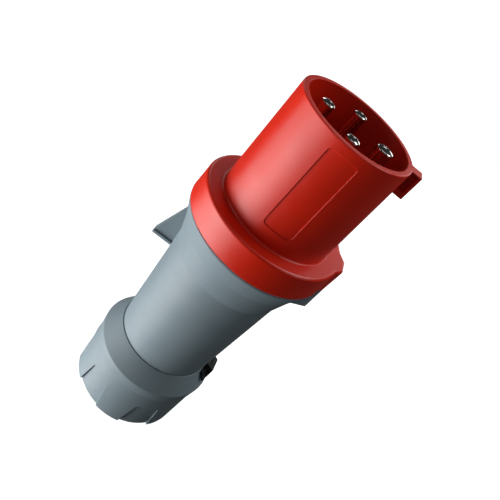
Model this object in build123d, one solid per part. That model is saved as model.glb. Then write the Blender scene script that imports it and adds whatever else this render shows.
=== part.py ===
from build123d import *
import math
import os

# Industrial pin and sleeve plug, 63 A, three phases and earth, key at six hours.
# All lengths are in millimetres. The plug stands on the flat rear face of its gland nut:
# +Z runs along the axis to the pins, +X points to the key, the origin is the rear face's centre.

# Lengths along the axis, rear to front
NUT_LENGTH = 55.6
BODY_LENGTH = 105.1
COLLAR_LENGTH = 17.3
SLEEVE_LENGTH = 68.5

NUT_FRONT = NUT_LENGTH
JOINT = NUT_FRONT + BODY_LENGTH
COLLAR_FRONT = JOINT + COLLAR_LENGTH
RIM = COLLAR_FRONT + SLEEVE_LENGTH

# Clearances between pieces, and how far a cutting shape runs past what it cuts
RUNNING_GAP = 0.08
SLIP_GAP = 0.2
MOVING_GAP = 0.3
SEAT_GAP = 0.1
OVER = 1.0

# How closely an edge's radius and height have to agree to be the one that is looked for
SAME = 0.01

# Front shroud: sleeve, collar and rear spigot in one moulding
SLEEVE_RADIUS = 35.5
SLEEVE_DRAFT = 0.3
SLEEVE_WALL = 3.3
WELL_RADIUS = SLEEVE_RADIUS - SLEEVE_WALL
WELL_DEPTH = 56.5
COLLAR_RADIUS = 46.4
COLLAR_WALL = 2.8
COLLAR_DRAFT = 0.4
COLLAR_EDGE = 1.8
SLEEVE_ROOT_FILLET = 1.0
RIM_EDGE = 0.6
SPIGOT_RADIUS = 36.4
SPIGOT_SKIN = 2.4
SPIGOT_LENGTH = 16.5
SEAT_LEDGE = 1.4
SEAT_RADIUS = WELL_RADIUS + SEAT_LEDGE
SEAT_FACE_WALL = 1.0
SEAT_DEPTH = COLLAR_LENGTH - SEAT_FACE_WALL
CORE_INNER_RADIUS = SPIGOT_RADIUS + SPIGOT_SKIN
CORE_OUTER_RADIUS = COLLAR_RADIUS - COLLAR_WALL
CORE_DEPTH = 13.5
CORE_RIBS = 12
CORE_RIB_WIDTH = 1.8

# Guide key on the sleeve
KEY_REACH = 41.9
KEY_WIDTH = 8.3
KEY_LENGTH = 15.2
KEY_POCKET_FRONT = 0.8
KEY_POCKET_REAR = 2.9
KEY_ROOF = 1.9
KEY_WEB = 2.4
KEY_EDGE = 1.2
KEY_FRONT_EDGE = 0.6

# Lug on the collar behind the key, with sloping flanks
COLLAR_LUG_FRONT_RISE = 2.9
COLLAR_LUG_REAR_RISE = 1.8
COLLAR_LUG_TOP_WIDTH = 9.4
COLLAR_LUG_FLANK_SLOPE = 1.35
COLLAR_LUG_ROUND = 1.4

# Bare label recess on the sleeve
LABEL_WIDTH = 17.3
LABEL_LENGTH = 52.8
LABEL_FROM_RIM = 5.8
LABEL_TOWARDS_KEY = 0.5
LABEL_DEPTH = 0.45
LABEL_CORNER = 2.4

# Bayonet between shroud and housing
LUG_COUNT = 3
LUG_ANGLE = 14.0
LUG_HEIGHT = 1.6
LUG_LENGTH = 3.0
LUG_FROM_SPIGOT_END = 3.0
LUG_ANGLE_PLAY = 1.0
LUG_TURN = 26.0

# Joint seal, a cord ring in the spigot's groove
SEAL_SECTION_RADIUS = 0.9
SEAL_GROOVE_WIDTH = 2.4
SEAL_FROM_JOINT = 5.0
SEAL_TOUCH_GAP = 0.02

# Contacts
PIN_CIRCLE_RADIUS = 18.7
PHASE_PIN_RADIUS = 4.0
EARTH_PIN_RADIUS = 5.0
PIN_RECESS = 0.6
PIN_DOME_RISE = 1.2
PIN_TIP_ROUND = 0.8
PIN_SHANK_STEP = 0.5
PIN_FLANGE_RADIUS = 7.6
PIN_FLANGE_THICKNESS = 3.0
BARREL_RADIUS = 6.7
BARREL_LENGTH = 28.0
WIRE_BORE_RADIUS = 4.1
WIRE_BORE_DEPTH = 20.0

# Contact carrier and its back plate
CARRIER_FACE = RIM - WELL_DEPTH
CARRIER_FLANGE_THICKNESS = 7.0
CARRIER_BOSS_HEIGHT = 1.2
CARRIER_BOSS_WALL = 2.6
CARRIER_CORE_RADIUS = 5.5
CARRIER_CORE_DEPTH = 6.0
GASKET_THICKNESS = 1.0
BACKPLATE_THICKNESS = 8.0
CARRIER_SCREW_CIRCLE = 27.0
CARRIER_SCREW_RADIUS = 1.8
CARRIER_SCREW_HEAD_RADIUS = 3.4
CARRIER_SCREW_HEAD_HEIGHT = 2.4
CARRIER_SCREW_HEAD_ROUND = 0.9
CARRIER_SCREW_BITE = 6.0
CARRIER_SCREW_ANGLE = 45
CROSS_SLOT_LENGTH = 4.2
CROSS_SLOT_WIDTH = 0.9
CROSS_SLOT_DEPTH = 1.2

# Terminal screws, pressure plates and the separator between the terminals
TERMINAL_SCREW_RADIUS = 2.4
TERMINAL_HEAD_RADIUS = 4.3
TERMINAL_HEAD_HEIGHT = 3.2
TERMINAL_SCREW_SPACING = 9.6
TERMINAL_SCREW_FROM_PLATE = 5.2
TERMINAL_HEAD_CLEAR = 0.5
TERMINAL_SLOT_WIDTH = 1.2
TERMINAL_SLOT_DEPTH = 1.2
CLAMP_NEAR = 2.1
CLAMP_THICKNESS = 1.2
CLAMP_WIDTH = 4.2
CLAMP_LENGTH = 17.0
PARTITION_REACH = 22.0
PARTITION_THICKNESS = 2.0
PARTITION_HUB_RADIUS = 5.0
PARTITION_LENGTH = 24.0

# Rear housing: a long gentle cone, then two steeper ones up to the collar
HOUSING_LIP_RISE = 0.1
HOUSING_FRONT_SLOPE = 0.415
HOUSING_FRONT_BEND_FROM_JOINT = 13.0
HOUSING_MIDDLE_SLOPE = 0.286
HOUSING_REAR_BEND_FROM_JOINT = 28.6
HOUSING_BEND_ROUND = 5.0
HOUSING_REAR_RADIUS = 31.6
HOUSING_WALL = 3.2
HOUSING_INNER_ROUND = 10.0
HOUSING_SHOULDER_IN_NUT = 6.0
HOUSING_FRONT_EDGE = 1.2
THREAD_MAJOR_RADIUS = 29.5
THREAD_HEIGHT = 0.9
NECK_RADIUS = THREAD_MAJOR_RADIUS - THREAD_HEIGHT
NECK_END = 21.0
SEAL_BORE_RADIUS = 24.5
LEDGE_RADIUS = 21.5
LEDGE_Z = 44.0
LEDGE_THICKNESS = 4.0
THROAT_LENGTH = 26.0
THROAT_FLARE = 12.0

# Fin on the twelve o'clock side, where a socket's lid catches
FIN_THICKNESS = 4.0
FIN_FRONT_FROM_JOINT = 14.7
FIN_LENGTH = 28.6
FIN_FRONT_RISE = 0.3
FIN_REACH = 49.3
FIN_LIP_THICKNESS = 1.8
FIN_LIP_WIDTH = 6.4
FIN_LIP_EDGE = 0.5

# Lug on the six o'clock side, in line with the key and with the collar's lug
HEEL_WIDTH = 12.0
HEEL_REAR_RISE = 0.2
HEEL_LENGTH = 16.7
HEEL_SLANT = 4.6
HEEL_DROP = 8.2
HEEL_EDGE = 0.8

# Lock slide and the track that it runs in
SLIDE_FRONT_FROM_NUT = 8.6
SLIDE_TOP_FRONT_FROM_NUT = 2.9
SLIDE_REAR_OVER_NUT = 6.2
SLIDE_REACH = 38.4
SLIDE_HALF_WIDTH = 6.0
SLIDE_NOSE_ROUND = 1.6
SLIDE_EDGE = 1.2
SLIDE_WING_HALF_WIDTH = 10.5
SLIDE_WING_FRONT_FROM_NUT = 0.6
SLIDE_WING_THICKNESS = 1.1
SLIDE_TRAVEL = 2.0
TRACK_WIDTH = 6.4
TRACK_FLOOR = 27.2
TRACK_FOOT_WIDTH = 10.4
TRACK_FOOT_HEIGHT = 1.9
TRACK_SIDE_GAP = 0.2
PAWL_TOP = 31.2
PAWL_ROOT = 0.6
STEM_SINK = 3.0
PAWL_TIP_BEHIND_NUT_FRONT = 6.1
FOOT_FRONT_FROM_NUT = 5.5
FOOT_REAR_OVER_NUT = 2.7
STEM_REAR_FROM_NUT = 2.5
SPRING_REAR_OVER_NUT = 2.1
SPRING_LEAF_THICKNESS = 0.4
SPRING_LEAF_WIDTH = 5.0
SPRING_CROWN = 0.35
SPRING_ROOM = 0.8

# Gland nut
NUT_EDGE_RADIUS = 32.6
NUT_SHOULDER_RADIUS = 39.9
NUT_SHOULDER_LENGTH = 13.1
NUT_BAND_LENGTH = 6.6
NUT_BAND_RADIUS = 39.2
NUT_BAND_STEP = 0.5
NUT_BAND_STEP_LENGTH = 0.9
NUT_REAR_RADIUS = 38.0
NUT_REAR_EDGE = 0.9
NUT_SHOULDER_EDGE = 0.9
NUT_LIP_LENGTH = 4.0
NUT_WALL = 6.0
NUT_TOOTH_ROOT_RADIUS = 33.2
NUT_TOOTH_TIP_RADIUS = 29.9
NUT_TOOTH_FRONT = 6.6
NUT_TOOTH_LENGTH = 6.0
NUT_TEETH = 18
NUT_TOOTH_WIDTH = 3.6
NUT_CAVITY_RADIUS = 28.4
NUT_TAPER_LENGTH = 2.0
CABLE_ENTRY_RADIUS = 19.0
CABLE_ENTRY_CHAMFER = 1.2
GRIP_COUNT = 6
GRIP_LENGTH = 23.0
GRIP_FRONT_WIDTH = 16.0
GRIP_REAR_WIDTH = 22.0
GRIP_DEPTH = 1.9
GRIP_CORNER = 2.2
GRIP_FRONT_DEPTH = 0.9

# Cable seal, slip washer, clamp collet and thrust ring
SEAL_LENGTH = 16.8
SEAL_SPLIT_RADIUS = 18.6
SEAL_HOLE_RADIUS = 13.5
SEAL_HOLE_FLARE = 1.5
SEAL_HOLE_LAND = 8.0
SEAL_RIB = 0.5
SEAL_RIB_HALF_WIDTH = 0.8
SEAL_RIBS = 3
WASHER_THICKNESS = 1.2
COLLET_BASE_LENGTH = 5.0
COLLET_FLANGE_RADIUS = 28.0
COLLET_FLANGE_THICKNESS = 2.5
COLLET_BORE_RADIUS = 19.2
COLLET_FINGER_ROOT_RADIUS = 24.5
COLLET_FINGER_TIP_RADIUS = 21.2
COLLET_FINGER_LENGTH = 9.5
COLLET_FINGERS = 12
COLLET_SLOT = 1.6
THRUST_LENGTH = 6.0
THRUST_RADIUS = 28.0


def turned(*outline):
    """Solid of revolution about Z from (radius, height) points."""
    wire = Polyline(*[(r, 0, z) for r, z in outline], close=True)
    return revolve(make_face(wire), Axis.Z)


def ring(inner, outer, low, high):
    """Plain ring between two radii and two heights."""
    return turned((inner, low), (outer, low), (outer, high), (inner, high))


def disc(radius, low, high):
    """Plain disc about the axis."""
    return Pos(0, 0, (low + high) / 2) * Cylinder(radius, high - low)


def block(x0, x1, y_half, z0, z1):
    """Box between two X, two Z and plus or minus y_half."""
    centre = Pos((x0 + x1) / 2, 0, (z0 + z1) / 2)
    return centre * Box(x1 - x0, 2 * y_half, z1 - z0)


def around(piece, count, start=0.0):
    """Copies of a piece at equal angles about the axis."""
    return [Rot(0, 0, start + i * 360 / count) * piece for i in range(count)]


def sector(inner, outer, low, high, angle):
    """Part of a ring, centred on +X."""
    corners = ((inner, 0, low), (outer, 0, low), (outer, 0, high), (inner, 0, high))
    section = make_face(Polyline(*corners, close=True))
    return Rot(0, 0, -angle / 2) * revolve(section, Axis.Z, revolution_arc=angle)


def circles_at(piece, radius, height):
    """Circular edges of a given radius at a given height."""
    found = []
    for edge in piece.edges().filter_by(GeomType.CIRCLE):
        if abs(edge.arc_center.Z - height) < SAME and abs(edge.radius - radius) < SAME:
            found.append(edge)
    return found


# Front shroud

SPIGOT_END = JOINT - SPIGOT_LENGTH
LEDGE_FRONT = JOINT + SEAT_DEPTH
LUG_LOW = SPIGOT_END + LUG_FROM_SPIGOT_END
SEAL_Z = JOINT - SEAL_FROM_JOINT
SEAL_GROOVE_FLOOR = SPIGOT_RADIUS + SLIP_GAP - SEAL_TOUCH_GAP - 2 * SEAL_SECTION_RADIUS
COLLAR_LUG_FRONT_REACH = COLLAR_RADIUS + COLLAR_LUG_FRONT_RISE
COLLAR_LUG_REAR_REACH = COLLAR_RADIUS + COLLAR_LUG_REAR_RISE


def make_key():
    low = RIM - KEY_LENGTH
    root = WELL_RADIUS + SLEEVE_WALL / 2
    key = block(root, KEY_REACH, KEY_WIDTH / 2, low, RIM)
    outer_edges = key.edges().filter_by(Axis.Z).group_by(Axis.X)[-1]
    key = fillet(outer_edges, KEY_EDGE)
    front = key.faces().sort_by(Axis.Z)[-1].edges().group_by(Axis.X)[-1]
    key = fillet(front, KEY_FRONT_EDGE)
    pocket_depth = (KEY_WIDTH - KEY_WEB) / 2
    pocket = block(SLEEVE_RADIUS, KEY_REACH - KEY_ROOF, pocket_depth / 2,
                   low + KEY_POCKET_REAR, RIM - KEY_POCKET_FRONT)
    shift = KEY_WIDTH / 2 - pocket_depth / 2
    return key - Pos(0, shift, 0) * pocket - Pos(0, -shift, 0) * pocket


def make_collar_lug():
    """Lug that rises towards the front, its flanks running out on the collar."""
    root = CORE_OUTER_RADIUS
    side = make_face(Polyline(
        (root, 0, JOINT), (COLLAR_LUG_REAR_REACH, 0, JOINT),
        (COLLAR_LUG_FRONT_REACH, 0, COLLAR_FRONT), (root, 0, COLLAR_FRONT), close=True))
    top = COLLAR_LUG_TOP_WIDTH / 2
    foot = top + COLLAR_LUG_FLANK_SLOPE * (COLLAR_LUG_FRONT_REACH - root)
    bar = extrude(side, foot, both=True)
    section = Polyline(
        (root, foot), (COLLAR_LUG_FRONT_REACH, top),
        (COLLAR_LUG_FRONT_REACH, -top), (root, -foot), close=True)
    flanks = Pos(0, 0, JOINT) * extrude(make_face(section), COLLAR_LENGTH)
    lug = (bar & flanks) - disc(COLLAR_RADIUS - COLLAR_WALL / 2, JOINT - OVER, COLLAR_FRONT + OVER)
    crests = lug.faces().sort_by(Axis.X)[-1].edges()
    return fillet(crests.filter_by(GeomType.LINE).group_by(Axis.Z)[1], COLLAR_LUG_ROUND)


def make_label_recess():
    outline = RectangleRounded(LABEL_WIDTH, LABEL_LENGTH, LABEL_CORNER)
    prism = extrude(Plane.XZ * outline, COLLAR_RADIUS)
    middle = RIM - LABEL_FROM_RIM - LABEL_LENGTH / 2
    prism = Pos(LABEL_TOWARDS_KEY, 0, middle) * prism
    skin = turned(
        (SLEEVE_RADIUS - LABEL_DEPTH, RIM + OVER),
        (COLLAR_RADIUS, RIM + OVER),
        (COLLAR_RADIUS, COLLAR_FRONT),
        (SLEEVE_RADIUS + SLEEVE_DRAFT - LABEL_DEPTH, COLLAR_FRONT),
    )
    return prism & skin


def make_front_shroud():
    body = turned(
        (WELL_RADIUS, RIM),
        (SLEEVE_RADIUS, RIM),
        (SLEEVE_RADIUS + SLEEVE_DRAFT, COLLAR_FRONT),
        (COLLAR_RADIUS - COLLAR_DRAFT, COLLAR_FRONT),
        (COLLAR_RADIUS, JOINT),
        (SPIGOT_RADIUS, JOINT),
        (SPIGOT_RADIUS, SPIGOT_END),
        (SEAT_RADIUS, SPIGOT_END),
        (SEAT_RADIUS, LEDGE_FRONT),
        (WELL_RADIUS, LEDGE_FRONT),
    )
    body = fillet(circles_at(body, COLLAR_RADIUS, JOINT), RIM_EDGE)
    body += make_collar_lug()
    collar_face = body.faces().filter_by(lambda face: abs(face.center().Z - COLLAR_FRONT) < SAME)[0]
    body = fillet(collar_face.outer_wire().edges(), COLLAR_EDGE)
    body = fillet(circles_at(body, SLEEVE_RADIUS + SLEEVE_DRAFT, COLLAR_FRONT), SLEEVE_ROOT_FILLET)
    body = fillet(circles_at(body, SLEEVE_RADIUS, RIM), RIM_EDGE)
    core = ring(CORE_INNER_RADIUS, CORE_OUTER_RADIUS, JOINT, JOINT + CORE_DEPTH)
    rib = block(CORE_INNER_RADIUS - OVER, CORE_OUTER_RADIUS + OVER, CORE_RIB_WIDTH / 2,
                JOINT, JOINT + CORE_DEPTH)
    for one in around(rib, CORE_RIBS, 180 / CORE_RIBS):
        core -= one
    body -= core
    body -= ring(SEAL_GROOVE_FLOOR, SPIGOT_RADIUS + OVER,
                 SEAL_Z - SEAL_GROOVE_WIDTH / 2, SEAL_Z + SEAL_GROOVE_WIDTH / 2)
    lug = sector(SPIGOT_RADIUS - OVER, SPIGOT_RADIUS + LUG_HEIGHT,
                 LUG_LOW, LUG_LOW + LUG_LENGTH, LUG_ANGLE)
    for one in around(lug, LUG_COUNT):
        body += one
    body += make_key()
    return body - make_label_recess()


def make_body_seal():
    centre = SEAL_GROOVE_FLOOR + SEAL_SECTION_RADIUS
    return Pos(0, 0, SEAL_Z) * Torus(centre, SEAL_SECTION_RADIUS)


# Contact carrier, gasket, back plate and screws

FLANGE_FRONT = LEDGE_FRONT - GASKET_THICKNESS
FLANGE_REAR = FLANGE_FRONT - CARRIER_FLANGE_THICKNESS
PLATE_REAR = FLANGE_REAR - BACKPLATE_THICKNESS
CARRIER_RADIUS = WELL_RADIUS - SLIP_GAP
FLANGE_RADIUS = SEAT_RADIUS - SLIP_GAP
PIN_PLACES = (
    ("pin_earth", 0, EARTH_PIN_RADIUS),
    ("pin_l1", 90, PHASE_PIN_RADIUS),
    ("pin_l2", 180, PHASE_PIN_RADIUS),
    ("pin_l3", 270, PHASE_PIN_RADIUS),
)


def at_pin(angle, piece):
    return Rot(0, 0, angle) * Pos(PIN_CIRCLE_RADIUS, 0, 0) * piece


def make_contact_carrier():
    carrier = disc(CARRIER_RADIUS, FLANGE_FRONT, CARRIER_FACE)
    carrier += disc(FLANGE_RADIUS, FLANGE_REAR, FLANGE_FRONT)
    boss_top = CARRIER_FACE + CARRIER_BOSS_HEIGHT
    for name, angle, radius in PIN_PLACES:
        boss = disc(radius + CARRIER_BOSS_WALL, CARRIER_FACE - OVER, boss_top)
        carrier += at_pin(angle, boss)
    for name, angle, radius in PIN_PLACES:
        hole = disc(radius + PIN_SHANK_STEP + RUNNING_GAP, FLANGE_REAR - OVER, boss_top + OVER)
        seat = disc(PIN_FLANGE_RADIUS + RUNNING_GAP, FLANGE_REAR - OVER, FLANGE_REAR + PIN_FLANGE_THICKNESS)
        carrier -= at_pin(angle, hole + seat)
    carrier -= disc(CARRIER_CORE_RADIUS, CARRIER_FACE - CARRIER_CORE_DEPTH, CARRIER_FACE + OVER)
    pilot = disc(CARRIER_SCREW_RADIUS, FLANGE_REAR - OVER, FLANGE_REAR + CARRIER_SCREW_BITE)
    for one in around(Pos(CARRIER_SCREW_CIRCLE, 0, 0) * pilot, len(PIN_PLACES), CARRIER_SCREW_ANGLE):
        carrier -= one
    return carrier


def make_carrier_gasket():
    return ring(WELL_RADIUS + SEAT_GAP, SEAT_RADIUS - SEAT_GAP, FLANGE_FRONT, LEDGE_FRONT)


def make_carrier_backplate():
    plate = disc(FLANGE_RADIUS, PLATE_REAR, FLANGE_REAR)
    hole = disc(BARREL_RADIUS + SEAT_GAP, PLATE_REAR - OVER, FLANGE_REAR + OVER)
    for one in around(Pos(PIN_CIRCLE_RADIUS, 0, 0) * hole, len(PIN_PLACES)):
        plate -= one
    clear = disc(CARRIER_SCREW_RADIUS + SEAT_GAP, PLATE_REAR - OVER, FLANGE_REAR + OVER)
    for one in around(Pos(CARRIER_SCREW_CIRCLE, 0, 0) * clear, len(PIN_PLACES), CARRIER_SCREW_ANGLE):
        plate -= one
    return plate


def make_carrier_screws():
    head_low = PLATE_REAR - CARRIER_SCREW_HEAD_HEIGHT
    screw = disc(CARRIER_SCREW_HEAD_RADIUS, head_low, PLATE_REAR)
    screw = fillet(circles_at(screw, CARRIER_SCREW_HEAD_RADIUS, head_low), CARRIER_SCREW_HEAD_ROUND)
    screw += disc(CARRIER_SCREW_RADIUS, head_low + CROSS_SLOT_DEPTH, FLANGE_REAR + CARRIER_SCREW_BITE)
    cross = Pos(0, 0, head_low) * Box(CROSS_SLOT_LENGTH, CROSS_SLOT_WIDTH, 2 * CROSS_SLOT_DEPTH)
    for turn in (0, 90):
        screw -= Rot(0, 0, turn) * cross
    screws = around(Pos(CARRIER_SCREW_CIRCLE, 0, 0) * screw, len(PIN_PLACES), CARRIER_SCREW_ANGLE)
    return Compound(screws)


# Pins, terminal screws, pressure plates and separator

PIN_TIP = RIM - PIN_RECESS
BARREL_END = FLANGE_REAR - BARREL_LENGTH
FIRST_SCREW_Z = PLATE_REAR - TERMINAL_SCREW_FROM_PLATE
SCREW_LEVELS = (FIRST_SCREW_Z, FIRST_SCREW_Z - TERMINAL_SCREW_SPACING)


def radial_rod(radius, start, end, height):
    """Round rod along +X between two distances from the pin's own axis."""
    return Pos((start + end) / 2, 0, height) * Rot(0, 90, 0) * Cylinder(radius, end - start)


def make_pin(radius):
    """Turned pin with a domed tip, a thicker shank inside the carrier and a drilled barrel."""
    shoulder = PIN_TIP - PIN_DOME_RISE
    dome_radius = (radius ** 2 + PIN_DOME_RISE ** 2) / (2 * PIN_DOME_RISE)
    half = math.asin(radius / dome_radius) / 2
    middle = (dome_radius * math.sin(half), 0, PIN_TIP - dome_radius * (1 - math.cos(half)))
    dome = ThreePointArc((radius, 0, shoulder), middle, (0, 0, PIN_TIP))
    shaft = Polyline((0, 0, PIN_TIP), (0, 0, FLANGE_REAR), (radius, 0, FLANGE_REAR), (radius, 0, shoulder))
    pin = revolve(make_face(dome + shaft), Axis.Z)
    pin = fillet(circles_at(pin, radius, shoulder), PIN_TIP_ROUND)
    pin += disc(radius + PIN_SHANK_STEP, FLANGE_REAR, CARRIER_FACE + CARRIER_BOSS_HEIGHT)
    pin += disc(PIN_FLANGE_RADIUS, FLANGE_REAR, FLANGE_REAR + PIN_FLANGE_THICKNESS)
    pin += disc(BARREL_RADIUS, BARREL_END, FLANGE_REAR)
    pin -= disc(WIRE_BORE_RADIUS, BARREL_END - OVER, BARREL_END + WIRE_BORE_DEPTH)
    for height in SCREW_LEVELS:
        pin -= radial_rod(TERMINAL_SCREW_RADIUS, 0, BARREL_RADIUS + OVER, height)
    return pin


def make_terminal_screws():
    tip = CLAMP_NEAR + CLAMP_THICKNESS
    under_head = BARREL_RADIUS + TERMINAL_HEAD_CLEAR
    top = under_head + TERMINAL_HEAD_HEIGHT
    screws = []
    slot = Box(2 * TERMINAL_SLOT_DEPTH, TERMINAL_SLOT_WIDTH, 2 * TERMINAL_HEAD_RADIUS + OVER)
    for height in SCREW_LEVELS:
        screw = radial_rod(TERMINAL_SCREW_RADIUS, tip, under_head + OVER, height)
        screw += radial_rod(TERMINAL_HEAD_RADIUS, under_head, top, height)
        screw -= Pos(top, 0, height) * slot
        for name, angle, radius in PIN_PLACES:
            screws.append(at_pin(angle, screw))
    return Compound(screws)


def make_terminal_clamps():
    middle = sum(SCREW_LEVELS) / len(SCREW_LEVELS)
    plate = block(CLAMP_NEAR, CLAMP_NEAR + CLAMP_THICKNESS, CLAMP_WIDTH / 2,
                  middle - CLAMP_LENGTH / 2, middle + CLAMP_LENGTH / 2)
    return Compound([at_pin(angle, plate) for name, angle, radius in PIN_PLACES])


def make_terminal_partition():
    low = PLATE_REAR - PARTITION_LENGTH
    piece = disc(PARTITION_HUB_RADIUS, low, PLATE_REAR)
    blade = block(0, PARTITION_REACH, PARTITION_THICKNESS / 2, low, PLATE_REAR)
    for one in around(blade, len(PIN_PLACES), 45):
        piece += one
    return piece


# Rear housing

HOUSING_FRONT_RADIUS = COLLAR_RADIUS + HOUSING_LIP_RISE
FRONT_BEND_Z = JOINT - HOUSING_FRONT_BEND_FROM_JOINT
FRONT_BEND_RADIUS = HOUSING_FRONT_RADIUS - HOUSING_FRONT_SLOPE * HOUSING_FRONT_BEND_FROM_JOINT
REAR_BEND_Z = JOINT - HOUSING_REAR_BEND_FROM_JOINT
REAR_BEND_RADIUS = FRONT_BEND_RADIUS - HOUSING_MIDDLE_SLOPE * (FRONT_BEND_Z - REAR_BEND_Z)
SHOULDER_Z = NUT_FRONT - HOUSING_SHOULDER_IN_NUT
SOCKET_RADIUS = SPIGOT_RADIUS + SLIP_GAP
SOCKET_END = SPIGOT_END - SLIP_GAP
THROAT_START = LEDGE_Z + LEDGE_THICKNESS
THROAT_END = THROAT_START + THROAT_LENGTH


def cone_radius(z):
    """Outer radius of the housing's long gentle cone at height z."""
    share = (z - SHOULDER_Z) / (REAR_BEND_Z - SHOULDER_Z)
    return HOUSING_REAR_RADIUS + share * (REAR_BEND_RADIUS - HOUSING_REAR_RADIUS)


def housing_side(offset=0.0):
    """The flared side from the joint to the shoulder, offset outwards."""
    return FilletPolyline(
        (HOUSING_FRONT_RADIUS + offset, 0, JOINT),
        (FRONT_BEND_RADIUS + offset, 0, FRONT_BEND_Z),
        (REAR_BEND_RADIUS + offset, 0, REAR_BEND_Z),
        (HOUSING_REAR_RADIUS + offset, 0, SHOULDER_Z),
        radius=HOUSING_BEND_ROUND,
    )


def housing_envelope(offset=0.0):
    """Everything inside the housing's outer side, as one solid."""
    side = housing_side(offset)
    front, rear = side @ 0, side @ 1
    neck = NECK_RADIUS + offset
    rest = Polyline(rear, (neck, 0, SHOULDER_Z), (neck, 0, NECK_END), (0, 0, NECK_END), (0, 0, JOINT), front)
    return revolve(make_face(side + rest), Axis.Z)


def make_fin():
    front = JOINT - FIN_FRONT_FROM_JOINT
    rear = front - FIN_LENGTH
    root = REAR_BEND_RADIUS - HOUSING_WALL / 2
    crest = REAR_BEND_RADIUS + HOUSING_MIDDLE_SLOPE * (front - REAR_BEND_Z) + FIN_FRONT_RISE
    blade = make_face(Polyline(
        (-root, 0, front), (-crest, 0, front), (-FIN_REACH, 0, rear + FIN_LIP_THICKNESS),
        (-FIN_REACH, 0, rear), (-root, 0, rear), close=True))
    lip = block(-FIN_REACH, -root, FIN_LIP_WIDTH / 2, rear, rear + FIN_LIP_THICKNESS)
    lip = fillet(lip.edges().filter_by(Axis.Y).group_by(Axis.X)[0], FIN_LIP_EDGE)
    return extrude(blade, FIN_THICKNESS / 2, both=True) + lip


def make_heel():
    front = JOINT - SLIP_GAP
    rear = JOINT - HEEL_LENGTH
    root = REAR_BEND_RADIUS - HOUSING_WALL / 2
    reach = COLLAR_LUG_REAR_REACH + HEEL_REAR_RISE
    side = make_face(Polyline(
        (root, 0, front), (COLLAR_LUG_REAR_REACH, 0, front), (reach, 0, rear),
        (reach - HEEL_DROP, 0, rear - HEEL_SLANT), (root, 0, rear - HEEL_SLANT), close=True))
    heel = extrude(side, HEEL_WIDTH / 2, both=True)
    return fillet(heel.edges().filter_by(Axis.Y).group_by(Axis.X)[-1], HEEL_EDGE)


def make_track():
    """T slot under the lock slide, open towards the nut."""
    front = NUT_FRONT + FOOT_FRONT_FROM_NUT + MOVING_GAP
    rear = NUT_FRONT - PAWL_TIP_BEHIND_NUT_FRONT - SLIDE_TRAVEL - MOVING_GAP
    foot_rear = NUT_FRONT - FOOT_REAR_OVER_NUT - SLIDE_TRAVEL - MOVING_GAP
    neck = block(TRACK_FLOOR, HOUSING_FRONT_RADIUS, TRACK_WIDTH / 2, rear, front)
    foot = block(TRACK_FLOOR, TRACK_FLOOR + TRACK_FOOT_HEIGHT, TRACK_FOOT_WIDTH / 2, foot_rear, front)
    return neck + foot


def make_bayonet_slots():
    """L slots in the socket wall: straight in from the front, then round to the stop."""
    depth = SPIGOT_RADIUS + LUG_HEIGHT + SLIP_GAP
    low = LUG_LOW - SLIP_GAP
    high = LUG_LOW + LUG_LENGTH + SLIP_GAP
    wide = LUG_ANGLE + LUG_ANGLE_PLAY
    run = Rot(0, 0, LUG_TURN / 2) * sector(SOCKET_RADIUS - OVER, depth, low, high, wide + LUG_TURN)
    entry = Rot(0, 0, LUG_TURN) * sector(SOCKET_RADIUS - OVER, depth, low, JOINT + OVER, wide)
    return around(run, LUG_COUNT) + around(entry, LUG_COUNT)


def make_rear_housing():
    shell = housing_envelope()
    shell = fillet(circles_at(shell, HOUSING_FRONT_RADIUS, JOINT), HOUSING_FRONT_EDGE)
    shell += make_fin()
    shell += make_heel()
    inner_side = FilletPolyline(
        (SOCKET_RADIUS - HOUSING_WALL, 0, SOCKET_END),
        (REAR_BEND_RADIUS - HOUSING_WALL, 0, REAR_BEND_Z - HOUSING_WALL),
        (cone_radius(THROAT_END + THROAT_FLARE) - HOUSING_WALL, 0, THROAT_END + THROAT_FLARE),
        radius=HOUSING_INNER_ROUND,
    )
    rest = Polyline(
        inner_side @ 1,
        (SEAL_BORE_RADIUS, 0, THROAT_END), (SEAL_BORE_RADIUS, 0, THROAT_START),
        (LEDGE_RADIUS, 0, THROAT_START), (LEDGE_RADIUS, 0, LEDGE_Z),
        (SEAL_BORE_RADIUS, 0, LEDGE_Z), (SEAL_BORE_RADIUS, 0, NECK_END - OVER),
        (0, 0, NECK_END - OVER), (0, 0, JOINT + OVER),
        (SOCKET_RADIUS, 0, JOINT + OVER), (SOCKET_RADIUS, 0, SOCKET_END), inner_side @ 0,
    )
    shell -= revolve(make_face(inner_side + rest), Axis.Z)
    for slot in make_bayonet_slots():
        shell -= slot
    return shell - make_track()


# Lock slide and its leaf spring

def nut_cone(forward, outward):
    """The nut's sloping shoulder as a solid, moved forwards and grown outwards."""
    front = NUT_FRONT + forward
    rear = front - NUT_SHOULDER_LENGTH
    return turned((0, front), (NUT_EDGE_RADIUS + outward, front),
                  (NUT_SHOULDER_RADIUS + outward, rear), (0, rear))


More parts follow.
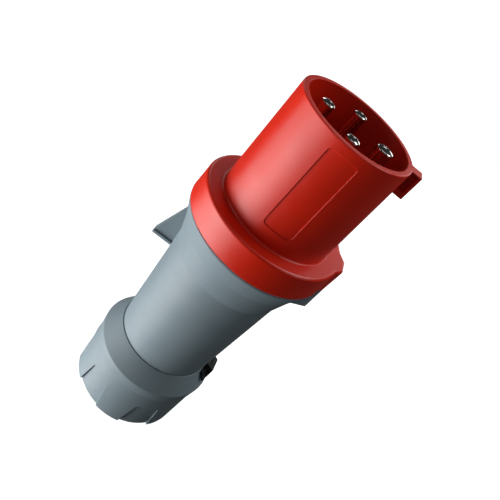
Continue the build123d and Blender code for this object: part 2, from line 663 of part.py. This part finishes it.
def make_lock_slide():
    """Thumb block with a leaning front, wings over the nut's shoulder, stem, T foot and pawl."""
    front = NUT_FRONT + SLIDE_FRONT_FROM_NUT
    rear = NUT_FRONT - SLIDE_REAR_OVER_NUT
    low = TRACK_FLOOR
    side = FilletPolyline(
        (low, 0, front), (SLIDE_REACH, 0, NUT_FRONT + SLIDE_TOP_FRONT_FROM_NUT),
        (SLIDE_REACH, 0, rear), radius=SLIDE_NOSE_ROUND)
    rest = Polyline(side @ 1, (low, 0, rear), (low, 0, front))
    cap = extrude(make_face(side + rest), SLIDE_HALF_WIDTH, both=True)
    crests = [edge for edge in cap.edges() if abs(edge.center().Y) > SLIDE_HALF_WIDTH - SAME
              and edge.center().X > low + OVER and edge.center().Z > rear + OVER]
    cap = fillet(crests, SLIDE_EDGE)
    clear = SLIDE_TRAVEL + MOVING_GAP
    wings = block(low, SLIDE_REACH + OVER, SLIDE_WING_HALF_WIDTH, rear, NUT_FRONT + SLIDE_WING_FRONT_FROM_NUT)
    cap += wings & nut_cone(clear, SLIDE_WING_THICKNESS)
    cap = cap - housing_envelope(MOVING_GAP) - nut_cone(clear, 0)
    stem_half = TRACK_WIDTH / 2 - TRACK_SIDE_GAP
    floor = TRACK_FLOOR + TRACK_SIDE_GAP
    foot_top = TRACK_FLOOR + TRACK_FOOT_HEIGHT - TRACK_SIDE_GAP
    foot_half = TRACK_FOOT_WIDTH / 2 - TRACK_SIDE_GAP
    foot_front = NUT_FRONT + FOOT_FRONT_FROM_NUT
    foot_rear = NUT_FRONT - FOOT_REAR_OVER_NUT
    stem = block(floor, SLIDE_REACH - STEM_SINK, stem_half, NUT_FRONT + STEM_REAR_FROM_NUT, foot_front)
    foot = block(floor, foot_top, foot_half, foot_rear, foot_front)
    spring_room = block(TRACK_FLOOR, floor + SPRING_ROOM, SPRING_LEAF_WIDTH / 2 + TRACK_SIDE_GAP,
                        foot_rear - OVER, foot_front + OVER)
    pawl = block(foot_top - PAWL_ROOT, PAWL_TOP, stem_half,
                 NUT_FRONT - PAWL_TIP_BEHIND_NUT_FRONT, foot_front - OVER)
    return cap + stem + foot + pawl - spring_room


def make_lock_spring():
    """Flat leaf in the track's floor, with a low crown that the slide's foot rides on."""
    low = NUT_FRONT - SPRING_REAR_OVER_NUT
    high = NUT_FRONT + FOOT_FRONT_FROM_NUT
    middle = (low + high) / 2
    bottom = TRACK_FLOOR
    top = bottom + SPRING_LEAF_THICKNESS
    under = ThreePointArc((bottom, 0, low), (bottom + SPRING_CROWN, 0, middle), (bottom, 0, high))
    over = ThreePointArc((top, 0, high), (top + SPRING_CROWN, 0, middle), (top, 0, low))
    wire = under + Line(under @ 1, over @ 0) + over + Line(over @ 1, under @ 0)
    return extrude(make_face(wire), SPRING_LEAF_WIDTH / 2, both=True)


# Gland nut

NUT_SHOULDER_Z = NUT_FRONT - NUT_SHOULDER_LENGTH
NUT_BAND_Z = NUT_SHOULDER_Z - NUT_BAND_LENGTH
NUT_STEP_Z = NUT_BAND_Z - NUT_BAND_STEP_LENGTH


def make_grip_pocket():
    """Pocket that gets deeper towards the nut's rear and is open there, with upright walls."""
    front = GRIP_LENGTH
    half_front, half_rear = GRIP_FRONT_WIDTH / 2, GRIP_REAR_WIDTH / 2
    corners = ((half_front, 0, front), (half_rear, 0, -OVER), (-half_rear, 0, -OVER), (-half_front, 0, front))
    prism = extrude(make_face(Polyline(*corners, close=True)), COLLAR_RADIUS)
    front_edges = prism.edges().filter_by(Axis.Y).group_by(Axis.Z)[-1]
    prism = fillet(front_edges, GRIP_CORNER)
    side_slope = (NUT_BAND_RADIUS - NUT_BAND_STEP - NUT_REAR_RADIUS) / NUT_STEP_Z
    floor_rear = NUT_REAR_RADIUS - GRIP_DEPTH
    floor_front = NUT_REAR_RADIUS + side_slope * front - GRIP_FRONT_DEPTH
    skin = turned((floor_rear, -OVER), (COLLAR_RADIUS, -OVER), (COLLAR_RADIUS, front + OVER),
                  (floor_front, front + OVER), (floor_front, front), (floor_rear, 0))
    return Rot(0, 0, 90) * (prism & skin)


def make_gland_nut():
    lip_z = NUT_FRONT - NUT_LIP_LENGTH
    lip_radius = cone_radius(NUT_FRONT) + RUNNING_GAP
    tooth_high = NUT_FRONT - NUT_TOOTH_FRONT
    tooth_low = tooth_high - NUT_TOOTH_LENGTH
    thread_radius = THREAD_MAJOR_RADIUS + RUNNING_GAP
    nut = turned(
        (lip_radius, NUT_FRONT),
        (NUT_EDGE_RADIUS, NUT_FRONT),
        (NUT_SHOULDER_RADIUS, NUT_SHOULDER_Z),
        (NUT_BAND_RADIUS, NUT_BAND_Z),
        (NUT_BAND_RADIUS - NUT_BAND_STEP, NUT_STEP_Z),
        (NUT_REAR_RADIUS, 0),
        (CABLE_ENTRY_RADIUS, 0),
        (CABLE_ENTRY_RADIUS, NUT_WALL),
        (NUT_CAVITY_RADIUS, NUT_WALL),
        (NUT_CAVITY_RADIUS, NECK_END - NUT_TAPER_LENGTH),
        (thread_radius, NECK_END - NUT_TAPER_LENGTH / 2),
        (thread_radius, tooth_low),
        (NUT_TOOTH_ROOT_RADIUS, tooth_low),
        (NUT_TOOTH_ROOT_RADIUS, lip_z),
        (lip_radius, lip_z),
    )
    nut = fillet(circles_at(nut, NUT_REAR_RADIUS, 0), NUT_REAR_EDGE)
    nut = fillet(circles_at(nut, NUT_SHOULDER_RADIUS, NUT_SHOULDER_Z), NUT_SHOULDER_EDGE)
    nut = chamfer(circles_at(nut, CABLE_ENTRY_RADIUS, 0), CABLE_ENTRY_CHAMFER)
    for pocket in around(make_grip_pocket(), GRIP_COUNT):
        nut -= pocket
    tooth = block(NUT_TOOTH_TIP_RADIUS, NUT_TOOTH_ROOT_RADIUS + OVER, NUT_TOOTH_WIDTH / 2,
                  tooth_low - OVER, tooth_high)
    for one in around(tooth, NUT_TEETH, 180 / NUT_TEETH):
        nut += one
    return nut


# Cable seal, slip washer, clamp collet and thrust ring

WASHER_FRONT = LEDGE_Z - SEAL_LENGTH
COLLET_FRONT = WASHER_FRONT - WASHER_THICKNESS
COLLET_BACK = NECK_END - COLLET_FLANGE_THICKNESS
FINGER_END = COLLET_BACK - COLLET_FINGER_LENGTH


def make_cable_seal_outer():
    outer = SEAL_BORE_RADIUS - SEAT_GAP
    half = SEAL_RIB_HALF_WIDTH
    points = [(SEAL_SPLIT_RADIUS, WASHER_FRONT), (outer, WASHER_FRONT)]
    for i in range(SEAL_RIBS):
        middle = WASHER_FRONT + SEAL_LENGTH * (i + 1) / (SEAL_RIBS + 1)
        points += [(outer, middle - half), (outer - SEAL_RIB, middle), (outer, middle + half)]
    points += [(outer, LEDGE_Z), (SEAL_SPLIT_RADIUS, LEDGE_Z)]
    return turned(*points)


def make_cable_seal_inner():
    middle = (WASHER_FRONT + LEDGE_Z) / 2
    outer = SEAL_SPLIT_RADIUS - SEAT_GAP
    flare = SEAL_HOLE_RADIUS + SEAL_HOLE_FLARE
    half = SEAL_HOLE_LAND / 2
    return turned((flare, WASHER_FRONT), (outer, WASHER_FRONT), (outer, LEDGE_Z), (flare, LEDGE_Z),
                  (SEAL_HOLE_RADIUS, middle + half), (SEAL_HOLE_RADIUS, middle - half))


def make_slip_washer():
    return ring(COLLET_BORE_RADIUS, SEAL_BORE_RADIUS - SLIP_GAP, COLLET_FRONT, WASHER_FRONT)


def finger_radius(z):
    share = (z - FINGER_END) / COLLET_FINGER_LENGTH
    return COLLET_FINGER_TIP_RADIUS + share * (COLLET_FINGER_ROOT_RADIUS - COLLET_FINGER_TIP_RADIUS)


def make_clamp_collet():
    collet = turned(
        (COLLET_BORE_RADIUS, COLLET_FRONT),
        (SEAL_BORE_RADIUS - SLIP_GAP, COLLET_FRONT),
        (SEAL_BORE_RADIUS - SLIP_GAP, NECK_END),
        (COLLET_FLANGE_RADIUS, NECK_END),
        (COLLET_FLANGE_RADIUS, COLLET_BACK),
        (COLLET_FINGER_ROOT_RADIUS, COLLET_BACK),
        (COLLET_FINGER_TIP_RADIUS, FINGER_END),
        (COLLET_BORE_RADIUS, FINGER_END),
    )
    slot = block(COLLET_BORE_RADIUS - OVER, COLLET_FINGER_ROOT_RADIUS + OVER, COLLET_SLOT / 2,
                 FINGER_END - OVER, COLLET_BACK - OVER)
    for one in around(slot, COLLET_FINGERS):
        collet -= one
    return collet


def make_thrust_ring():
    high = NUT_WALL + THRUST_LENGTH
    bore = COLLET_BORE_RADIUS
    return turned(
        (bore, NUT_WALL),
        (THRUST_RADIUS, NUT_WALL),
        (THRUST_RADIUS, high),
        (finger_radius(high) + SEAT_GAP, high),
        (finger_radius(FINGER_END) + SEAT_GAP, FINGER_END),
        (finger_radius(FINGER_END) + SEAT_GAP, FINGER_END - SEAT_GAP),
        (bore, FINGER_END - SEAT_GAP),
    )


pieces = {
    "front_shroud": make_front_shroud(),
    "body_seal": make_body_seal(),
    "contact_carrier": make_contact_carrier(),
    "carrier_gasket": make_carrier_gasket(),
    "carrier_backplate": make_carrier_backplate(),
    "carrier_screws": make_carrier_screws(),
    "terminal_screws": make_terminal_screws(),
    "terminal_clamps": make_terminal_clamps(),
    "terminal_partition": make_terminal_partition(),
    "rear_housing": make_rear_housing(),
    "lock_slide": make_lock_slide(),
    "lock_spring": make_lock_spring(),
    "cable_seal_outer": make_cable_seal_outer(),
    "cable_seal_inner": make_cable_seal_inner(),
    "slip_washer": make_slip_washer(),
    "clamp_collet": make_clamp_collet(),
    "thrust_ring": make_thrust_ring(),
    "gland_nut": make_gland_nut(),
}
for name, angle, radius in PIN_PLACES:
    pieces[name] = at_pin(angle, make_pin(radius))

os.makedirs("parts", exist_ok=True)
for name, piece in pieces.items():
    export_step(piece, os.path.join("parts", name + ".step"))
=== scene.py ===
import math

import bmesh
import bpy
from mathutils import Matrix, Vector


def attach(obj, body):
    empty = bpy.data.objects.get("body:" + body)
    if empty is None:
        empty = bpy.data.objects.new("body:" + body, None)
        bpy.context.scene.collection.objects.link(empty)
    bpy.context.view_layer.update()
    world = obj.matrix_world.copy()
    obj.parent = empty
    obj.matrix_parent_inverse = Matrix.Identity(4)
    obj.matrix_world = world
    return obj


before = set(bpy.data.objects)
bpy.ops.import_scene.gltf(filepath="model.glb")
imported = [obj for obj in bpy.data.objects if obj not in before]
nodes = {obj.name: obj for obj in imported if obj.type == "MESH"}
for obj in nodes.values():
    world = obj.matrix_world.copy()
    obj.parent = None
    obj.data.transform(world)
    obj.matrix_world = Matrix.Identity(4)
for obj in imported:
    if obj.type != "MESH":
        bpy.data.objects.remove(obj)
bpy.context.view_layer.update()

# Industrial pin and sleeve plug, upright on its gland nut: +Z to the pins, +X to the key.
MM = 0.001


# Front shroud
# Sleeve, collar and guide key are one moulding of glass-filled polyamide, dyed red all
# through. The mould is spark-eroded, which leaves a fine satin grain, and the glass fibre
# makes faint clouds where the melt flowed. Edges are rubbed paler by handling.

RED = (0.78, 0.020, 0.003, 1)
RED_CLOUD = (0.71, 0.016, 0.002, 1)
RED_RUBBED = (0.82, 0.070, 0.045, 1)
RED_SATIN = 0.37

FLOW_CLOUD = 34 * MM
FLOW_CLOUD_SPAN = (0.36, 0.64)
RUB_PATCH = 5 * MM
RUB_SPAN = (0.35, 0.70)
GLOSS_PATCH = 11 * MM
GLOSS_SPAN = (0.30, 0.70)
GLOSSIER = 0.035
DULLER = 0.045
SPARK_GRAIN = 0.45 * MM
SPARK_GRAIN_DEPTH = 0.02 * MM
SPARK_GRAIN_STRENGTH = 0.35
MOULDED_EDGE = 0.35 * MM
EDGE_SAMPLES = 6
EDGE_SPAN = (0.80, 0.99)


def blank(name):
    """New material, with its node tree, its shader and the place on the piece."""
    material = bpy.data.materials.new(name)
    material.use_nodes = True
    tree = material.node_tree
    place = tree.nodes.new("ShaderNodeTexCoord").outputs["Object"]
    return material, tree, tree.nodes["Principled BSDF"], place


def blend_by(tree, amount, first, second):
    """Colour that goes from first to second with a 0 to 1 amount."""
    mix = tree.nodes.new("ShaderNodeMix")
    mix.data_type = "RGBA"
    tree.links.new(amount, mix.inputs["Factor"])
    for socket, colour in ((mix.inputs["A"], first), (mix.inputs["B"], second)):
        if isinstance(colour, tuple):
            socket.default_value = colour
        else:
            tree.links.new(colour, socket)
    return mix.outputs["Result"]


def spread(tree, value, span, to_span=(0, 1)):
    """A value's span, stretched to another span."""
    stretch = tree.nodes.new("ShaderNodeMapRange")
    tree.links.new(value, stretch.inputs["Value"])
    stretch.inputs["From Min"].default_value = span[0]
    stretch.inputs["From Max"].default_value = span[1]
    stretch.inputs["To Min"].default_value = to_span[0]
    stretch.inputs["To Max"].default_value = to_span[1]
    return stretch.outputs["Result"]


def noise(tree, place, size, detail, squash=(1, 1, 1)):
    """Noise with features about size metres across, stretched along an axis by squash."""
    turn = tree.nodes.new("ShaderNodeMapping")
    turn.inputs["Scale"].default_value = squash
    tree.links.new(place, turn.inputs["Vector"])
    pattern = tree.nodes.new("ShaderNodeTexNoise")
    pattern.inputs["Scale"].default_value = 1 / size
    pattern.inputs["Detail"].default_value = detail
    tree.links.new(turn.outputs["Vector"], pattern.inputs["Vector"])
    return pattern.outputs["Fac"]


def soft_edges(tree, radius):
    """Normals rounded over the small radius that an edge has."""
    edge = tree.nodes.new("ShaderNodeBevel")
    edge.samples = EDGE_SAMPLES
    edge.inputs["Radius"].default_value = radius
    return edge.outputs["Normal"]


def on_edges(tree, rounded):
    """1 along an edge and 0 on a face, from the rounded normal."""
    plain = tree.nodes.new("ShaderNodeNewGeometry")
    dot = tree.nodes.new("ShaderNodeVectorMath")
    dot.operation = "DOT_PRODUCT"
    tree.links.new(rounded, dot.inputs[0])
    tree.links.new(plain.outputs["Normal"], dot.inputs[1])
    return spread(tree, dot.outputs["Value"], EDGE_SPAN, (1, 0))


def grain(tree, height, normal, strength, depth):
    """Bump of a surface grain over a normal."""
    bump = tree.nodes.new("ShaderNodeBump")
    bump.inputs["Strength"].default_value = strength
    bump.inputs["Distance"].default_value = depth
    tree.links.new(height, bump.inputs["Height"])
    tree.links.new(normal, bump.inputs["Normal"])
    return bump.outputs["Normal"]


def moulded_plastic(name, colour, cloud, rubbed, satin):
    """Moulded plastic with flow clouds, eroded grain, uneven gloss and rubbed edges."""
    material, tree, shader, place = blank(name)
    rounded = soft_edges(tree, MOULDED_EDGE)
    clouds = spread(tree, noise(tree, place, FLOW_CLOUD, detail=4), FLOW_CLOUD_SPAN)
    body = blend_by(tree, clouds, colour, cloud)
    wear = spread(tree, noise(tree, place, RUB_PATCH, detail=3), RUB_SPAN)
    worn = tree.nodes.new("ShaderNodeMath")
    worn.operation = "MULTIPLY"
    tree.links.new(on_edges(tree, rounded), worn.inputs[0])
    tree.links.new(wear, worn.inputs[1])
    skin = blend_by(tree, worn.outputs["Value"], body, rubbed)
    tree.links.new(skin, shader.inputs["Base Color"])
    patches = noise(tree, place, GLOSS_PATCH, detail=4)
    gloss = spread(tree, patches, GLOSS_SPAN, (satin - GLOSSIER, satin + DULLER))
    tree.links.new(gloss, shader.inputs["Roughness"])
    fine = noise(tree, place, SPARK_GRAIN, detail=3)
    bump = grain(tree, fine, rounded, SPARK_GRAIN_STRENGTH, SPARK_GRAIN_DEPTH)
    tree.links.new(bump, shader.inputs["Normal"])
    return material


def finish(material, *names):
    """Gives CAD nodes a material."""
    for name in names:
        mesh = nodes[name].data
        mesh.materials.clear()
        mesh.materials.append(material)


finish(moulded_plastic("red_moulding", RED, RED_CLOUD, RED_RUBBED, RED_SATIN), "front_shroud")


# Contact carrier
# The insert that holds the pins is a stiffer red moulding with a boss round each pin. Its red is
# painted far darker than the shroud's, as painted shade for its place deep in the well.
# The back plate and the cross-shaped separator behind it are moulded from the same stock.

# Painted shade: the shroud's red made darker for the insert, back plate and separator that sit deep
# in the well.
SHADED_RED = (0.30, 0.012, 0.006, 1)
SHADED_RED_CLOUD = (0.24, 0.009, 0.005, 1)
SHADED_RED_RUBBED = (0.42, 0.045, 0.03, 1)
SHADED_RED_SATIN = 0.46

carrier_shaded_red = moulded_plastic("carrier_moulding", SHADED_RED, SHADED_RED_CLOUD, SHADED_RED_RUBBED,
                              SHADED_RED_SATIN)
finish(carrier_shaded_red, "contact_carrier", "carrier_backplate", "terminal_partition")


# Contact pins
# Four round pins and their screw barrels are turned from brass bar and nickel plated. The
# shafts are polished bright, with faint rings from the tool and patches dulled by use.

NICKEL = (0.60, 0.58, 0.56, 1)
NICKEL_DULL = (0.50, 0.48, 0.45, 1)
NICKEL_POLISH = 0.10
NICKEL_RINGS = 0.5 * MM

TURNED_EDGE = 0.2 * MM
DULL_PATCH = 6 * MM
DULL_SPAN = (0.42, 0.72)
POLISH_PATCH = 3 * MM
POLISH_SPAN = (0.30, 0.70)
BRIGHTEST = 0.7
DULLEST = 1.4
RING_SQUASH = (0.04, 0.04, 1)
RING_STRENGTH = 0.25
RING_DEPTH = 0.004 * MM


def plated_metal(name, colour, dull, polish, ring_size):
    """Turned and plated metal: fine rings along Z, small dull patches and soft edges."""
    material, tree, shader, place = blank(name)
    shader.inputs["Metallic"].default_value = 1.0
    rounded = soft_edges(tree, TURNED_EDGE)
    patches = spread(tree, noise(tree, place, DULL_PATCH, detail=4), DULL_SPAN)
    tree.links.new(blend_by(tree, patches, colour, dull), shader.inputs["Base Color"])
    uneven = noise(tree, place, POLISH_PATCH, detail=4)
    gloss = spread(tree, uneven, POLISH_SPAN, (polish * BRIGHTEST, polish * DULLEST))
    tree.links.new(gloss, shader.inputs["Roughness"])
    rings = noise(tree, place, ring_size, detail=2, squash=RING_SQUASH)
    bump = grain(tree, rings, rounded, RING_STRENGTH, RING_DEPTH)
    tree.links.new(bump, shader.inputs["Normal"])
    return material


finish(plated_metal("nickel_brass", NICKEL, NICKEL_DULL, NICKEL_POLISH, NICKEL_RINGS),
       "pin_earth", "pin_l1", "pin_l2", "pin_l3")


# Screws, pressure plates and lock spring
# Terminal screws, carrier screws and the plates that press on the wires are zinc plated
# steel, a little yellowed. The leaf under the lock slide is bare rolled spring steel.

ZINC = (0.62, 0.62, 0.60, 1)
ZINC_DULL = (0.44, 0.43, 0.38, 1)
ZINC_POLISH = 0.30
ZINC_RINGS = 0.35 * MM
LEAF_STEEL = (0.42, 0.42, 0.44, 1)
LEAF_STEEL_DULL = (0.30, 0.30, 0.33, 1)
LEAF_STEEL_POLISH = 0.26
LEAF_STEEL_RINGS = 0.3 * MM

finish(plated_metal("zinc_steel", ZINC, ZINC_DULL, ZINC_POLISH, ZINC_RINGS),
       "carrier_screws", "terminal_screws", "terminal_clamps")
finish(plated_metal("spring_steel", LEAF_STEEL, LEAF_STEEL_DULL, LEAF_STEEL_POLISH,
                    LEAF_STEEL_RINGS), "lock_spring")


# Seals
# The joint ring, the carrier gasket and the two cable seals are moulded black rubber, with
# a dull skin and a bloom of pale dust in places.

RUBBER = (0.022, 0.022, 0.024, 1)
RUBBER_BLOOM = (0.060, 0.060, 0.062, 1)
RUBBER_SATIN = 0.58
BLOOM_SATIN = 0.80
BLOOM_PATCH = 7 * MM
BLOOM_SPAN = (0.48, 0.75)
PEBBLE = 0.6 * MM
PEBBLE_DEPTH = 0.03 * MM
PEBBLE_STRENGTH = 0.4
RUBBER_EDGE = 0.3 * MM


def moulded_rubber(name):
    """Dull black rubber with pale bloom and a pebbled skin."""
    material, tree, shader, place = blank(name)
    bloom = spread(tree, noise(tree, place, BLOOM_PATCH, detail=5), BLOOM_SPAN)
    tree.links.new(blend_by(tree, bloom, RUBBER, RUBBER_BLOOM), shader.inputs["Base Color"])
    gloss = spread(tree, bloom, (0, 1), (RUBBER_SATIN, BLOOM_SATIN))
    tree.links.new(gloss, shader.inputs["Roughness"])
    pebbles = noise(tree, place, PEBBLE, detail=2)
    bump = grain(tree, pebbles, soft_edges(tree, RUBBER_EDGE), PEBBLE_STRENGTH, PEBBLE_DEPTH)
    tree.links.new(bump, shader.inputs["Normal"])
    return material


finish(moulded_rubber("seal_rubber"),
       "body_seal", "carrier_gasket", "cable_seal_outer", "cable_seal_inner")


# Rear housing
# The flared grey body with its fin, heel and threaded neck is one glass-filled moulding. It
# takes the wires from the gland to the terminals and locks to the shroud by a bayonet.

GREY = (0.225, 0.288, 0.321, 1)
GREY_CLOUD = (0.206, 0.265, 0.298, 1)
GREY_RUBBED = (0.33, 0.38, 0.41, 1)
GREY_SATIN = 0.53

grey_plastic = moulded_plastic("grey_moulding", GREY, GREY_CLOUD, GREY_RUBBED, GREY_SATIN)
finish(grey_plastic, "rear_housing")


# Neck thread
# The housing's neck carries a coarse right-hand trapezoidal thread of 3 mm pitch, moulded in
# one with it, that starts square at the neck's end and runs up to just below the shoulder.

THREAD_PITCH = 3.0 * MM
STEPS_PER_TURN = 72
NECK_RIDGE = ((28.45, 1.10), (29.45, 0.45))
NECK_THREAD_START = 23.0 * MM
NECK_THREAD_TURNS = 7.25


def built(name, shape, material):
    """Object made from a finished bmesh, in one material."""
    mesh = bpy.data.meshes.new(name)
    shape.to_mesh(mesh)
    shape.free()
    mesh.materials.append(material)
    piece = bpy.data.objects.new(name, mesh)
    bpy.context.scene.collection.objects.link(piece)
    return piece


def helix(name, ridge, start, turns):
    """Screw thread: a ridge of given half widths at two radii, in mm, wound up about Z."""
    shape = bmesh.new()
    (root, root_half), (crest, crest_half) = ridge
    corners = ((root, -root_half), (crest, -crest_half), (crest, crest_half), (root, root_half))
    profile = [shape.verts.new((radius * MM, 0, start + rise * MM)) for radius, rise in corners]
    face = shape.faces.new(profile)
    bmesh.ops.spin(shape, geom=[face, *face.edges, *profile], cent=(0, 0, 0), axis=(0, 0, 1),
                   dvec=(0, 0, THREAD_PITCH / STEPS_PER_TURN), angle=math.tau * turns,
                   steps=round(STEPS_PER_TURN * turns), use_duplicate=False)
    bmesh.ops.recalc_face_normals(shape, faces=shape.faces)
    thread = built(name, shape, grey_plastic)
    return thread


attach(helix("neck_thread", NECK_RIDGE, NECK_THREAD_START, NECK_THREAD_TURNS), "plug_body")


# Gland nut
# The cap that squeezes the cable seal is moulded in the same grey, with six thumb pockets in
# its rear half and a ring of teeth inside its lip that the lock slide's pawl drops into. Its
# thread runs in the neck's, half a pitch further on.

NUT_RIDGE = ((29.65, 0.95), (28.80, 0.35))
NUT_THREAD_START = 21.5 * MM
NUT_THREAD_TURNS = 6.75

finish(grey_plastic, "gland_nut")
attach(helix("nut_thread", NUT_RIDGE, NUT_THREAD_START, NUT_THREAD_TURNS), "nut")


# Lock slide
# The black slide rides in a T slot beside the nut. Pushed towards the nut, its pawl drops
# between the teeth and locks the nut; drawn forward, it lets the nut turn.

BLACK = (0.016, 0.017, 0.019, 1)
BLACK_CLOUD = (0.022, 0.023, 0.025, 1)
BLACK_RUBBED = (0.09, 0.09, 0.095, 1)
BLACK_SATIN = 0.24

finish(moulded_plastic("black_moulding", BLACK, BLACK_CLOUD, BLACK_RUBBED, BLACK_SATIN),
       "lock_slide")


# Clamp collet, thrust ring and slip washer
# The pieces that turn the nut's pull into grip on the cable are natural nylon, which is
# slippery, milky and slightly see-through at thin edges.

NYLON = (0.66, 0.64, 0.58, 1)
NYLON_CLOUD = (0.60, 0.58, 0.51, 1)
NYLON_RUBBED = (0.74, 0.72, 0.67, 1)
NYLON_SATIN = 0.40
NYLON_MILKINESS = 0.15
NYLON_GLOW_DEPTH = 2 * MM

nylon = moulded_plastic("pale_nylon", NYLON, NYLON_CLOUD, NYLON_RUBBED, NYLON_SATIN)
nylon_shader = nylon.node_tree.nodes["Principled BSDF"]
nylon_shader.inputs["Subsurface Weight"].default_value = NYLON_MILKINESS
nylon_shader.inputs["Subsurface Scale"].default_value = NYLON_GLOW_DEPTH
finish(nylon, "clamp_collet", "thrust_ring", "slip_washer")


# Floor
# A plain white floor that the plug stands on, inside a white dome. Both glow a little, so
# that they stay white, and only the camera sees them.

FLOOR_SIZE = 8.0
FLOOR_DROP = 0.1 * MM
FLOOR_PAINT = (0.5, 0.5, 0.5, 1)
FLOOR_GLOW = (1, 1, 1, 1)
FLOOR_GLOW_STRENGTH = 1.0
FLOOR_SATIN = 0.9
DOME_SUBDIVISIONS = 4

floor_white = bpy.data.materials.new("floor_white")
floor_white.use_nodes = True
floor_shader = floor_white.node_tree.nodes["Principled BSDF"]
floor_shader.inputs["Base Color"].default_value = FLOOR_PAINT
floor_shader.inputs["Roughness"].default_value = FLOOR_SATIN
floor_shader.inputs["Emission Color"].default_value = FLOOR_GLOW
floor_shader.inputs["Emission Strength"].default_value = FLOOR_GLOW_STRENGTH

surround = bmesh.new()
bmesh.ops.create_grid(surround, x_segments=1, y_segments=1, size=FLOOR_SIZE / 2)
bmesh.ops.create_icosphere(surround, subdivisions=DOME_SUBDIVISIONS, radius=FLOOR_SIZE / 2)
bmesh.ops.translate(surround, verts=surround.verts, vec=(0, 0, -FLOOR_DROP))
floor = built("floor", surround, floor_white)
floor.visible_diffuse = False
floor.visible_glossy = False
floor.visible_shadow = False


# Light
# Five soft boxes round the lower left make the wide pink and pale streaks along the barrel.
# Two at the right light the far side and the collar, one hangs overhead, and a dim room
# fills the rest. The four cards behind the plug are what the polished pin ends mirror.

MIDDLE = Vector((0, 0, 0.13))
LIGHT_DISTANCE = 0.9
ROOM = (0.035, 0.035, 0.035, 1)

# Name, degrees round from the front, degrees up, width and height in metres, and power in watts.
SOFTBOXES = (
    ("key_light", 65, -22, 0.50, 0.40, 4.2),
    ("key_low_light", 65, -48, 0.50, 0.40, 3.9),
    ("key_high_light", 65, 8, 0.50, 0.30, 0.8),
    ("key_front_light", 38, -28, 0.30, 0.60, 1.9),
    ("key_rear_light", 95, -25, 0.30, 0.60, 2.1),
    ("rear_light", -120, 55, 0.35, 0.35, 2.3),
    ("right_light", -75, 35, 0.35, 0.35, 0.8),
    ("overhead_light", 0, 88, 0.50, 0.50, 0.6),
    ("right_card", -150, 15, 0.32, 0.32, 0.85),
    ("left_card", 158, 26, 0.28, 0.28, 0.6),
    ("low_card", -172, 7, 0.60, 0.12, 0.5),
    ("middle_card", -172, 33, 0.12, 0.12, 0.07),
)


def towards(side, lift):
    """Direction at side degrees round from the front, clockwise from above, and lift degrees up."""
    turn = math.radians(side)
    rise = math.radians(lift)
    return Vector((-math.sin(turn) * math.cos(rise), -math.cos(turn) * math.cos(rise),
                   math.sin(rise)))


def softbox(name, direction, width, height, power):
    """Rectangular soft light that looks at the plug's middle."""
    lamp = bpy.data.lights.new(name, "AREA")
    lamp.shape = "RECTANGLE"
    lamp.size = width
    lamp.size_y = height
    lamp.energy = power
    holder = bpy.data.objects.new(name, lamp)
    bpy.context.scene.collection.objects.link(holder)
    holder.location = MIDDLE + direction * LIGHT_DISTANCE
    holder.rotation_euler = direction.to_track_quat("Z", "Y").to_euler()
    holder.visible_camera = False


for name, side, lift, width, height, power in SOFTBOXES:
    softbox(name, towards(side, lift), width, height, power)

room = bpy.data.worlds.new("room")
room.use_nodes = True
room.node_tree.nodes["Background"].inputs["Color"].default_value = ROOM
bpy.context.scene.world = room
bpy.context.scene.view_settings.view_transform = "Standard"


# Camera
# It looks down on the plug from the front left, and is rolled so that the plug leans right.

LENS = 43.98
CAMERA_PLACE = (-0.0436, -0.2974, 0.3396)
CAMERA_TURN = (49.027, -34.917, 17.631)

lens = bpy.data.cameras.new("camera")
lens.lens = LENS
camera = bpy.data.objects.new("camera", lens)
bpy.context.scene.collection.objects.link(camera)
camera.location = CAMERA_PLACE
camera.rotation_euler = [math.radians(turn) for turn in CAMERA_TURN]
bpy.context.scene.camera = camera
